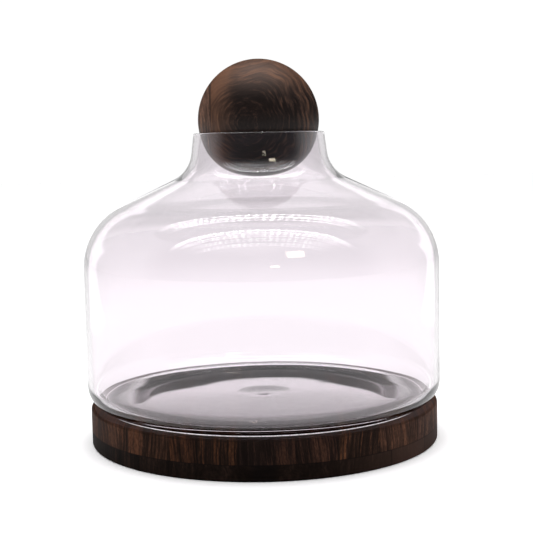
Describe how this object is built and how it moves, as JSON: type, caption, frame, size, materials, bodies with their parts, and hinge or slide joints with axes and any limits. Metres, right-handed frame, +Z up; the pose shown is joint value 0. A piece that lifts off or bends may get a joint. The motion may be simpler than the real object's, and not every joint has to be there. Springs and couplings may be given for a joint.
{
  "type": "glass display jar on wooden base",
  "caption": "Clear blown-glass display jar with rounded shoulder and short open neck, closed by a turned wooden ball and standing on a round laminated wooden base.",
  "frame": {"origin": "centre of the base's underside, on the common axis of base, jar and ball", "axes": "+Z up along the common axis, +X to the viewer's right, -Y towards the viewer; the upper staves run along Y and the lower boards along X"},
  "size_m": [0.236, 0.236, 0.2514],
  "materials": {
    "stave_wood": "satin",
    "board_wood": "satin",
    "ball_wood": "satin",
    "clear_glass": "polished"
  },
  "bodies": {
    "base": {"lower_board_1": "board_wood", "lower_board_2": "board_wood", "lower_board_3": "board_wood", "lower_board_4": "board_wood", "lower_board_5": "board_wood", "lower_board_6": "board_wood", "lower_board_7": "board_wood", "lower_board_8": "board_wood", "upper_stave_1": "stave_wood", "upper_stave_2": "stave_wood", "upper_stave_3": "stave_wood", "upper_stave_4": "stave_wood", "upper_stave_5": "stave_wood", "upper_stave_6": "stave_wood", "upper_stave_7": "stave_wood", "upper_stave_8": "stave_wood", "upper_stave_9": "stave_wood"},
    "jar": {"glass_jar": "clear_glass"},
    "stopper": {"ball_main_block": "ball_wood", "ball_side_block": "ball_wood"}
  },
  "joints": [
    {"name": "jar_lift", "type": "slide", "parent": "base", "child": "jar", "axis": [0, 0, 1], "range_m": [0, 0.1]},
    {"name": "stopper_lift", "type": "slide", "parent": "jar", "child": "stopper", "axis": [0, 0, 1], "range_m": [0, 0.08]}
  ]
}
